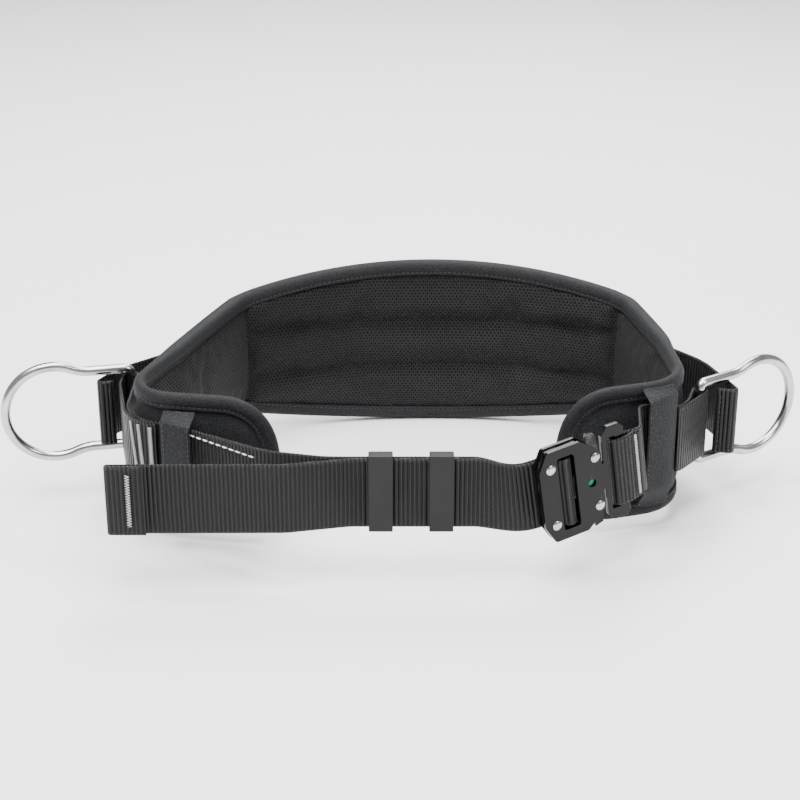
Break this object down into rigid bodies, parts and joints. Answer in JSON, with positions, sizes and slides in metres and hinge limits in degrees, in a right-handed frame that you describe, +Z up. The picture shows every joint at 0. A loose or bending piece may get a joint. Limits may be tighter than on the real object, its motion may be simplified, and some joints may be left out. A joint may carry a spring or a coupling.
{
  "type": "tree climbing work positioning belt",
  "caption": "Padded work positioning waist belt for tree climbing, with swinging side D-rings, a lever-release quick connect buckle, an adjustable front web and sliding web keepers.",
  "frame": {"origin": "middle of the overall box in X and Y, at the height of the pad's lowest edge", "axes": "+X across the hips towards the buckle's side, +Y towards the wearer's back, +Z up"},
  "size_m": [0.5256, 0.2758, 0.122],
  "materials": {
    "foam": "soft closed cell foam",
    "stiffener_board": "thin flexible sheet",
    "spacer_mesh": "knitted three-dimensional spacer mesh with small staggered oval holes",
    "shell_fabric": "dense smooth woven cover cloth",
    "binding_tape": "fine ribbed binding tape, stitched near its inner edge",
    "webbing": "heavy ribbed polyester webbing with white bar tacks",
    "zinc_steel": "bright zinc plating",
    "keeper_plastic": "satin moulded plastic",
    "black_steel": "semi-gloss black coating with worn edges",
    "green_plastic": "gloss green"
  },
  "bodies": {
    "belt": {"foam_back_upper": "foam", "foam_back_middle": "foam", "foam_back_lower": "foam", "back_stiffener": "stiffener_board", "foam_wing_left": "foam", "foam_wing_right": "foam", "foam_tongue_left": "foam", "foam_tongue_right": "foam", "mesh_liner": "spacer_mesh", "outer_shell": "shell_fabric", "binding_back": "binding_tape", "binding_left": "binding_tape", "binding_right": "binding_tape", "belt_loop_left": "shell_fabric", "belt_loop_right": "shell_fabric", "back_web": "webbing", "front_web": "webbing", "link_web": "webbing", "buckle_front_plate": "black_steel", "buckle_back_plate": "black_steel", "buckle_side_rails": "black_steel", "buckle_rivets": "zinc_steel", "lever_springs": "zinc_steel", "lock_indicator": "green_plastic", "tongue_plate": "black_steel"},
    "ring_left": {"d_ring_left": "zinc_steel"},
    "ring_right": {"d_ring_right": "zinc_steel"},
    "keeper_inner": {"keeper_inner": "keeper_plastic"},
    "keeper_outer": {"keeper_outer": "keeper_plastic"},
    "adjuster": {"adjuster_bar": "black_steel"},
    "lever_upper": {"release_lever_upper": "black_steel"},
    "lever_lower": {"release_lever_lower": "black_steel"}
  },
  "joints": [
    {"name": "ring_left_swing", "type": "hinge", "parent": "belt", "child": "ring_left", "pos_m": [-0.17885, 0.00637, 0.061], "axis": [0, 0, 1], "range_deg": [-70, 60]},
    {"name": "ring_right_swing", "type": "hinge", "parent": "belt", "child": "ring_right", "pos_m": [0.19115, -0.02063, 0.061], "axis": [0, 0, 1], "range_deg": [-110, 55]},
    {"name": "keeper_inner_slide", "type": "slide", "parent": "belt", "child": "keeper_inner", "axis": [1, 0, 0], "range_m": [-0.01, 0.01]},
    {"name": "keeper_outer_slide", "type": "slide", "parent": "belt", "child": "keeper_outer", "axis": [1, 0, 0], "range_m": [-0.01, 0.006]},
    {"name": "adjuster_float", "type": "slide", "parent": "belt", "child": "adjuster", "axis": [0.8877, 0.433, 0.1564], "range_m": [-0.0008, 0.0008]},
    {"name": "lever_upper_release", "type": "hinge", "parent": "belt", "child": "lever_upper", "pos_m": [0.11203, -0.11583, 0.0813], "axis": [-0.4384, 0.8988, 0], "range_deg": [0, 16], "stiffness_Nm_per_rad": 0.05, "springref_deg": -17.19},
    {"name": "lever_lower_release", "type": "hinge", "parent": "belt", "child": "lever_lower", "pos_m": [0.11667, -0.11357, 0.04871], "axis": [0.4384, -0.8988, 0], "range_deg": [0, 16], "stiffness_Nm_per_rad": 0.05, "springref_deg": -17.19}
  ]
}
